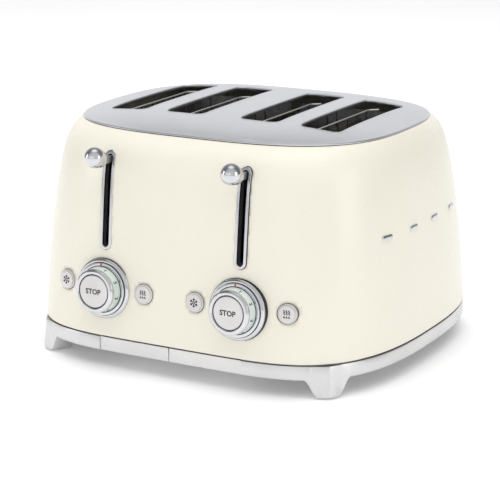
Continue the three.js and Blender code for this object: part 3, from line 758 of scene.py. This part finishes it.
def add_foot_pads():
    for corner in ("front_left", "front_right", "rear_left", "rear_right"):
        middle = middle_of(f"foot_pad_{corner}")
        matrix = Matrix.Translation((middle.x, middle.y, 0))
        profile = [(0.01, 0), (4.2, 0), (4.8, 0.15), (5, 0.5), (5, 0.8), (4.8, 1.15), (0.01, 1.15)]
        new_piece(f"pad_{corner}", revolve(profile, matrix, 32), RUBBER, "housing",
                  [f"foot_pad_{corner}"])


def add_cord_gland():
    low, high = box_of("cord_gland")
    place = Matrix.Translation((0, high.y - 4, (low.z + high.z) / 2))
    matrix = place @ Matrix.Rotation(-math.pi / 2, 4, "X")
    profile = [(3.4, -6), (6.6, -6), (6.6, 0.4), (8.8, 0.6), (9, 1.2), (8.7, 2.1), (8.0, 2.5),
               (7.2, 2.7), (7.0, 3.0), (6.2, 3.2), (5.6, 3.7), (5.0, 4), (3.6, 4), (3.4, 3.6)]
    new_piece("cord_bush", revolve([*profile, profile[0]], matrix, 48), BLACK, "housing",
              ["cord_gland"])


# ---------- Levers ----------
def pill_ring(x, half_width, half_height, z, out):
    """Pill-shaped loop that follows the casing's front, this far out of it."""
    loop = rounded_rectangle(half_width, half_height, half_width - 0.001, 12, 1, 26)
    xs, zs = x + loop[:, 0], z + loop[:, 1]
    return np.stack([xs, front_y(x, zs) - out, zs], axis=1)


def add_bezels():
    """Chrome frame of each lever slot, a black outline round it that is painted shade, and the black
    liner inside it, a real dark channel that also paints the slot's shade.
    """
    z = (BEZEL_LOW.z + BEZEL_HIGH.z) / 2
    half_height = (BEZEL_HIGH.z - BEZEL_LOW.z) / 2
    flange = 5.5
    profile = filleted([(flange, -0.4, 0), (flange, 1.05, 0.55), (3.2, 1.05, 0.6), (2.8, -0.4, 0.3),
                        (2.8, -3.5, 0), (4.2, -3.5, 0), (4.2, -0.4, 0)])
    # Half width, how much shorter than the frame, and distance out of the casing.
    # The outline is a black strip that stands in for the shade in the gap round the frame.
    gap_shade_ring_section = [(5.9, -0.4, -0.4), (5.9, -0.4, 0.12), (5.2, 0.3, 0.12), (5.2, 0.3, -0.4)]
    slot_liner_section = [(2.75, 2.75, -3.6), (2.75, 2.75, -1.0), (1.9, 3.6, -2.4), (1.75, 3.7, -3.6)]
    # The liner is a black channel that also stands in for the shade deep in the slot.
    for side, sign in SIDES:
        x = sign * MODULE_X
        rings = [pill_ring(x, width, half_height - flange + width, z, out) for width, out in profile]
        new_piece(f"bezel_{side}", loft(rings, along=True), CHROME, "housing",
                  [f"lever_bezel_{side}"], sharp=40)
        for name, section in (("bezel_gap_shade_ring", gap_shade_ring_section), ("slot_liner_shade", slot_liner_section)):
            rings = [pill_ring(x, width, half_height - less, z, out) for width, less, out in section]
            new_piece(f"{name}_{side}", loft(rings, along=True), RUBBER, "housing")


def add_balls():
    for side, sign in SIDES:
        middle = middle_of(f"lever_knob_{side}")
        low, high = box_of(f"lever_knob_{side}")
        centre = Vector((sign * MODULE_X, low.y + BALL_RADIUS, middle.z))
        axis = Matrix.Translation(centre) @ Matrix.Rotation(math.pi / 2, 4, "X")
        turns = np.linspace(-82, 89.9, 34)
        ball = [(BALL_RADIUS * math.cos(math.radians(t)), BALL_RADIUS * math.sin(math.radians(t)))
                for t in turns]
        ball = [(0.01, ball[0][1]), *ball]
        collar = filleted([(0.01, -2.2, 0), (7.4, -2.2, 0.4), (8.0, -4.0, 0.8), (8.0, -5.6, 0.5),
                           (7.0, -7.2, 0.5), (2.4, -7.6, 0)])
        collar += [(2.4, -8.4), (0.01, -8.4)]
        lowered = axis @ Matrix.Translation((0, -1.4, 0))
        shape = merged(revolve(ball, axis, 64), revolve(collar, lowered, 64))
        new_piece(f"ball_{side}", shape, CHROME, f"lift_{side}", [f"lever_knob_{side}"])


# ---------- Dials and buttons ----------
SCALE_RADIUS, SCALE_FOOT, SCALE_TAPER = 19.0, 5.7, 0.188  # the cone that carries the figures


def seated(shape):
    """Brings the points of a front control that lie deep in the casing up to just under its skin."""
    points, faces = shape
    moved = []
    for p in points:
        skin_y = float(front_y(p[0], p[2])) + 0.4
        moved.append((p[0], min(p[1], skin_y), p[2]))
    return moved, faces


def add_dials():
    for side, sign in SIDES:
        matrix = front_frame(sign * MODULE_X, DIAL_Z)
        add_dial_bezel(side, matrix)
        add_knob(side, matrix)
        add_dial_seams(side, matrix)
        add_knob_groove(side, matrix)
        add_dial_figures(side, matrix)
        add_dial_mark(side, matrix)
        add_stop_button(side, matrix)


def add_dial_bezel(side, matrix):
    """Fixed chrome ring round the knob."""
    skirt = filleted([(25.0, -7.5, 0), (25.2, 2.5, 0.7), (23.6, 3.9, 0.5), (22.5, 3.9, 0.2),
                      (22.3, 3.3, 0.1), (22.1, 3.3, 0.1), (22.1, 5.4, 0.4), (19.6, 5.6, 0.3),
                      (19.5, 1.0, 0)], 3)
    new_piece(f"dial_bezel_{side}", seated(revolve(skirt, matrix, 96)), CHROME, "housing",
              [f"dial_ring_{side}"])


def add_knob(side, matrix):
    """Turning chrome knob, with the mint cone that carries the figures."""
    knob = filleted([(7, -24, 0), (7, 1.4, 0.2), (18.9, 1.4, 0.2), (18.9, 5.6, 0.1), (17.7, 12.3, 0.1),
                     (17.2, 12.4, 0.1), (17.2, 12.9, 0.1), (18.3, 13.0, 0.3), (18.2, 15.6, 1.0),
                     (16.6, 16.9, 0.8), (14.9, 16.9, 0.4), (14.3, 16.2, 0.3), (14.2, 4, 0.2),
                     (5, 4, 0.2), (5, -24, 0)], 3)
    new_piece(f"knob_{side}", revolve(knob, matrix, 96), CHROME, f"dial_{side}",
              [f"dial_knob_{side}"])
    cone = [(18.7, 5.0), (18.97, 5.1), (SCALE_RADIUS, SCALE_FOOT), (17.78, 12.2), (17.5, 12.3)]
    new_piece(f"dial_scale_{side}", revolve(cone, matrix, 96), MINT, f"dial_{side}")


def add_dial_seams(side, matrix):
    """Black rings in the fixed ring's step, round the knob and round the ring: painted shade for the
    gaps there.
    """
    gap_shade_rings = [[(22.05, 2.9), (22.65, 2.9), (22.65, 4.0), (22.05, 4.0)],
             [(18.95, 1.6), (19.7, 1.6), (19.7, 5.68), (18.95, 5.5)],
             [(25.0, -7), (25.55, -7), (25.55, 0.35), (25.0, 0.35)]]
    shapes = [seated(revolve([*gap_shade_ring, gap_shade_ring[0]], matrix, 96)) for gap_shade_ring in gap_shade_rings]
    new_piece(f"dial_gap_shade_rings_{side}", merged(*shapes), RUBBER, "housing")


def add_knob_groove(side, matrix):
    """Black ring in the gap between the knob and the stop button: painted shade for that gap."""
    groove = [(13.75, 6), (14.35, 6), (14.35, 15.6), (13.75, 15.6)]
    new_piece(f"knob_groove_shade_{side}", revolve([*groove, groove[0]], matrix, 72), RUBBER,
              f"dial_{side}")


def add_stop_button(side, matrix):
    """Satin button in the middle of the knob, and its word."""
    profile = filleted([(4.2, -24, 0), (4.2, 6.5, 0.2), (13.5, 6.5, 0.3), (13.5, STOP_FACE - 0.2, 0.6),
                        (12.6, STOP_FACE, 0.2), (0.01, STOP_FACE, 0)], 4)
    new_piece(f"stop_cap_{side}", revolve(profile, matrix, 72), CAP, f"stop_{side}",
              [f"stop_button_{side}"])

    def on_cap(x, y, height):
        return matrix @ Vector((x - 0.3, y - 0.3, STOP_FACE + height))

    new_piece(f"stop_word_{side}", lettering("STOP", 6.0, 0.08, on_cap), INK, f"stop_{side}")


def add_dial_figures(side, matrix):
    """Browning figures, 1 to 7, bent round the mint cone."""
    spacing, along_cone, bend_radius = 42, 9.0, 18.4
    shapes = []
    for figure in range(1, 8):
        turn = math.radians(90 - spacing * figure + spacing / 2)

        def on_cone(x, y, height, turn=turn):
            along = along_cone + y
            radius = SCALE_RADIUS - (along - SCALE_FOOT) * SCALE_TAPER + 0.02 + height
            angle = turn - x / bend_radius
            return matrix @ Vector((radius * math.cos(angle), radius * math.sin(angle), along))

        shapes.append(lettering(str(figure), 4.6, 0.06, on_cone))
    new_piece(f"dial_figures_{side}", merged(*shapes), INK, f"dial_{side}")


def add_dial_mark(side, matrix):
    """Red mark at the top of the fixed ring."""
    outline = rounded_rectangle(0.75, 1.1, 0.3, 3)
    rings = []
    for shrink, height in ((0, 5.3), (0, 5.62), (0.1, 5.7)):
        loop = outline * (1 - shrink)
        rings.append([matrix @ Vector((x, y + 20.9, height)) for x, y in loop])
    new_piece(f"dial_mark_{side}", loft(rings, caps=True), RED, "housing")


def add_small_buttons():
    for name, x, turn in button_places():
        matrix = front_frame(x, BUTTON_Z, turn)
        kind, _, side = name.split("_")
        body = f"{kind}_{side}"
        stem = float(front_y(x, BUTTON_Z)) - box_of(name)[1].y + 0.5
        cap = filleted([(0.01, stem, 0), (3.5, stem, 0), (3.5, -4, 0), (8.2, -4, 0.2), (8.2, 1.2, 0.4),
                        (7.5, 1.5, 0.2), (7.1, 1.3, 0.1), (7.0, BUTTON_FACE - 0.2, 0.3),
                        (6.5, BUTTON_FACE, 0.2), (0.01, BUTTON_FACE, 0)], 3)
        new_piece(f"{kind}_cap_{side}", revolve(cap, matrix, 56), CAP, body, [name])
        strokes = snowflake() if kind == "defrost" else heat_waves()
        shapes = [stroke_shape(path, matrix) for path in strokes]
        new_piece(f"{kind}_icon_{side}", merged(*shapes), INK, body)


def snowflake():
    """Paths of a six-armed snowflake."""
    paths = []
    for arm in range(6):
        turn = math.radians(60 * arm + 30)
        ahead = np.array((math.cos(turn), math.sin(turn)))
        across = np.array((-ahead[1], ahead[0]))
        paths.append([ahead * 0.6, ahead * 4.4])
        for hand in (-1, 1):
            paths.append([ahead * 2.5, ahead * 3.6 + across * 1.1 * hand])
    return paths


def heat_waves():
    """Paths of three rising waves over a small hot plate."""
    paths = []
    for x in (-2.4, 0, 2.4):
        ys = np.linspace(-0.6, 3.9, 12)
        paths.append([np.array((x + 0.6 * math.sin((y + 0.6) * 2.8), y)) for y in ys])
        base = np.array((x, -2.6))
        paths.append([base + (-0.7, -0.7), base + (0.7, -0.7), base + (0, 0.7), base + (-0.7, -0.7)])
    return paths


def stroke_shape(path, matrix):
    """A flat raised stroke along a path on a button's face."""
    size, half, rise = 0.86, 0.40, 0.05
    low, high = BUTTON_FACE - rise, BUTTON_FACE + rise
    path = [np.asarray(p, float) * size for p in path]
    sections = []
    for i, point in enumerate(path):
        ahead = path[min(i + 1, len(path) - 1)] - path[max(i - 1, 0)]
        ahead = ahead / max(np.linalg.norm(ahead), 1e-9)
        across = np.array((-ahead[1], ahead[0])) * half
        corners = [(*(point - across), low), (*(point + across), low),
                   (*(point + across), high), (*(point - across), high)]
        sections.append([matrix @ Vector(c) for c in corners])
    return loft(sections, caps=True)


def add_trim_bars():
    half_length, half_height = 6.5, 2.3
    # Half height, and distance out of the casing.
    section = ((half_height, -0.2), (half_height, 0.5), (2.05, 0.85), (1.5, 1.02), (0.8, 1.1),
               (0.05, 1.12))
    for i in range(1, 5):
        middle = middle_of(f"trim_bar_{i}")
        rings = []
        for half, out in section:
            loop = rounded_rectangle(half_length - half_height + half, half, half - 0.001, 8)
            ys, zs = loop[:, 0] + middle.y, loop[:, 1] + middle.z
            rings.append(np.stack([side_x(ys, zs) + out, ys, zs], axis=1))
        new_piece(f"bar_{i}", loft(rings, caps=True), CHROME, "housing", [f"trim_bar_{i}"])


# ---------- Inside the slots ----------
def add_bread_guides():
    """Two wire rails each, whose ends bend in over the slot, joined by upright bars."""
    low, high = box_of("bread_guide_left_inner_a")
    half, wire = (high.y - low.y) / 2, 0.8
    bottom, top = low.z + wire, high.z - wire
    near = 13.8  # from the middle of the slot
    for side, _, place, x in slot_places():
        for letter, hand in (("a", -1), ("b", 1)):
            at = x + hand * near
            rails = []
            for z in (bottom, top):
                path = [(at - hand * 5.5, SLOT_Y - half + 1, z), (at - hand * 1, SLOT_Y - half + 3, z),
                        (at, SLOT_Y - half + 6, z), (at, SLOT_Y + half - 8, z),
                        (at - hand * 1.4, SLOT_Y + half - 5, z), (at - hand * 7.5, SLOT_Y + half - 1, z)]
                rails.append(tube(path, wire))
            bars = [tube([(at, y, bottom), (at, y, top)], wire * 0.85)
                    for y in np.linspace(SLOT_Y - half + 8, SLOT_Y + half - 10, 7)]
            name = f"{side}_{place}_{letter}"
            new_piece(f"wire_bars_{name}", merged(*bars), RIBBON, f"guide_{name}")
            new_piece(f"wire_guide_{name}", merged(*rails), WIRE, f"guide_{name}",
                      [f"bread_guide_{name}"])


def add_heater_ribbons():
    """Flat ribbons that go round each heater card, one above the other."""
    for side, _ in SIDES:
        for place in ("inner", "middle", "outer"):
            low, high = box_of(f"heater_card_{side}_{place}")
            x, y = (low.x + high.x) / 2, (low.y + high.y) / 2
            shapes = []
            half_length, margin, count = 62, 8, 14
            for z in np.linspace(low.z + margin, high.z - margin, count):
                rings = []
                for half_x, lift in ((0.85, 0), (0.85, 1.6), (0.5, 1.6), (0.5, 0)):
                    loop = rounded_rectangle(half_x, half_length, 0.3, 2) + (x, y)
                    rings.append(np.column_stack([loop, np.full(len(loop), z + lift)]))
                shapes.append(loft(rings, along=True))
            new_piece(f"heater_ribbon_{side}_{place}", merged(*shapes), RIBBON, "housing")


def add_springs():
    """Wire coils between the housing and their lift."""
    turns, steps, coil_radius, wire = 16, 14, 2.5, 0.45
    for side, _ in SIDES:
        low, high = box_of(f"lift_spring_{side}")
        x, y = (low.x + high.x) / 2, (low.y + high.y) / 2
        path = []
        for i in range(turns * steps + 1):
            angle = 2 * math.pi * i / steps
            z = low.z + 0.6 + (high.z - low.z - 1.2) * i / (turns * steps)
            path.append((x + coil_radius * math.cos(angle), y + coil_radius * math.sin(angle), z))
        piece = new_piece(f"spring_coil_{side}", tube(path, wire, 6), SPRING, None,
                          [f"lift_spring_{side}"])
        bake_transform(piece)


def finish_frame_nodes():
    """Gives each CAD node that stays shown its own material."""
    finishes = {"front_frame": ZINC, "rear_frame": ZINC, "guide_rod": SPRING, "latch_magnet": BLACK,
                "heater_card": MICA, "lift_carriage": ZINC, "bread_rest": ZINC, "base_floor": ZINC,
                "control_board": BOARD}
    for name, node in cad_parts.items():
        for start, material in finishes.items():
            if name.startswith(start):
                node.data.materials.clear()
                node.data.materials.append(material)


# ---------- Studio ----------
def area_light(name, place, aim, width, height, power):
    data = bpy.data.lights.new(name, "AREA")
    data.shape = "RECTANGLE"
    data.size, data.size_y = width, height
    data.energy = power
    lamp = bpy.data.objects.new(name, data)
    lamp.location = place
    lamp.rotation_euler = (Vector(aim) - Vector(place)).to_track_quat("-Z", "Y").to_euler()
    scene.collection.objects.link(lamp)
    return lamp


def grey_ramp(tree, source, stops):
    """Grey levels along a 0 to 1 value; stops are (position, grey)."""
    ramp = tree.nodes.new("ShaderNodeValToRGB")
    elements = ramp.color_ramp.elements
    for position, _ in stops[1:-1]:
        elements.new(position)
    for element, (position, grey) in zip(elements, stops, strict=True):
        element.position = position
        element.color = (grey, grey, grey, 1)
    tree.links.new(source, ramp.inputs["Fac"])
    return ramp.outputs["Color"]


def make_world():
    """Plain studio surroundings: bright in front, behind and overhead, dark to the sides."""
    world = bpy.data.worlds.new("studio")
    scene.world = world
    world.use_nodes = True
    tree = world.node_tree
    place = tree.nodes.new("ShaderNodeTexCoord")
    split = tree.nodes.new("ShaderNodeSeparateXYZ")
    tree.links.new(place.outputs["Generated"], split.inputs["Vector"])
    level_to_overhead = ((0.0, 0.0), (0.8, 0.0), (0.93, 1.0), (1.0, 1.9))
    behind_to_front = ((0.0, 1.3), (0.14, 1.25), (0.26, 0.45), (0.62, 0.28), (0.8, 0.9), (1.0, 1.1))
    cap = grey_ramp(tree, split.outputs["Z"], level_to_overhead)
    azimuth, elevation = math.radians(30), math.radians(15)
    flat = math.cos(elevation)
    front = (math.sin(azimuth) * flat, -math.cos(azimuth) * flat, math.sin(elevation))
    facing = tree.nodes.new("ShaderNodeVectorMath")
    facing.operation = "DOT_PRODUCT"
    facing.inputs[1].default_value = front
    tree.links.new(place.outputs["Generated"], facing.inputs[0])
    half = tree.nodes.new("ShaderNodeMath")
    half.operation = "MULTIPLY_ADD"
    half.inputs[1].default_value, half.inputs[2].default_value = 0.5, 0.5
    tree.links.new(facing.outputs["Value"], half.inputs[0])
    shade = grey_ramp(tree, half.outputs["Value"], behind_to_front)
    brighter = tree.nodes.new("ShaderNodeMix")
    brighter.data_type = "RGBA"
    brighter.blend_type = "LIGHTEN"
    brighter.inputs["Factor"].default_value = 1
    tree.links.new(cap, brighter.inputs["A"])
    tree.links.new(shade, brighter.inputs["B"])
    tree.links.new(brighter.outputs["Result"], tree.nodes["Background"].inputs["Color"])
    tree.nodes["Background"].inputs["Strength"].default_value = 0.72


def make_floor():
    """Plain pale paper, with a faint glow that keeps it white."""
    half, drop = 8.0, -0.0002
    mesh = bpy.data.meshes.new("studio_floor")
    corners = [(-half, -half, drop), (half, -half, drop), (half, half, drop), (-half, half, drop)]
    mesh.from_pydata(corners, [], [(0, 1, 2, 3)])
    floor = bpy.data.objects.new("studio_floor", mesh)
    paper = surface("floor_paper", (0.90, 0.90, 0.90), (0.93, 0.93, 0.93), (0.7, 0.9),
                    scale=3, grain=60, bump=0.02)
    glow = paper.node_tree.nodes["Principled BSDF"]
    glow.inputs["Emission Color"].default_value = (1, 1, 1, 1)
    glow.inputs["Emission Strength"].default_value = 0.15
    mesh.materials.append(paper)
    scene.collection.objects.link(floor)


def make_studio():
    scene.view_settings.view_transform = "Standard"
    make_world()
    make_floor()
    middle = (0, 0, 0.1)
    overhead = area_light("overhead", (0.0, 0.0, 2.0), middle, 3.4, 3.2, 46)
    overhead.visible_glossy = False
    area_light("front_fill", (-0.4, -3.4, 0.9), middle, 4.2, 1.6, 7)
    area_light("left_fill", (-2.9, -1.9, 0.9), middle, 0.9, 1.6, 12)
    area_light("right_fill", (3.0, -0.4, 0.8), middle, 1.4, 1.5, 9)


make_camera()
make_studio()
add_casing()
add_gasket()
add_top()
add_base_band()
add_crumb_trays()
add_foot_pads()
add_cord_gland()
add_bezels()
add_balls()
add_dials()
add_small_buttons()
add_trim_bars()
add_bread_guides()
add_heater_ribbons()
add_springs()
finish_frame_nodes()
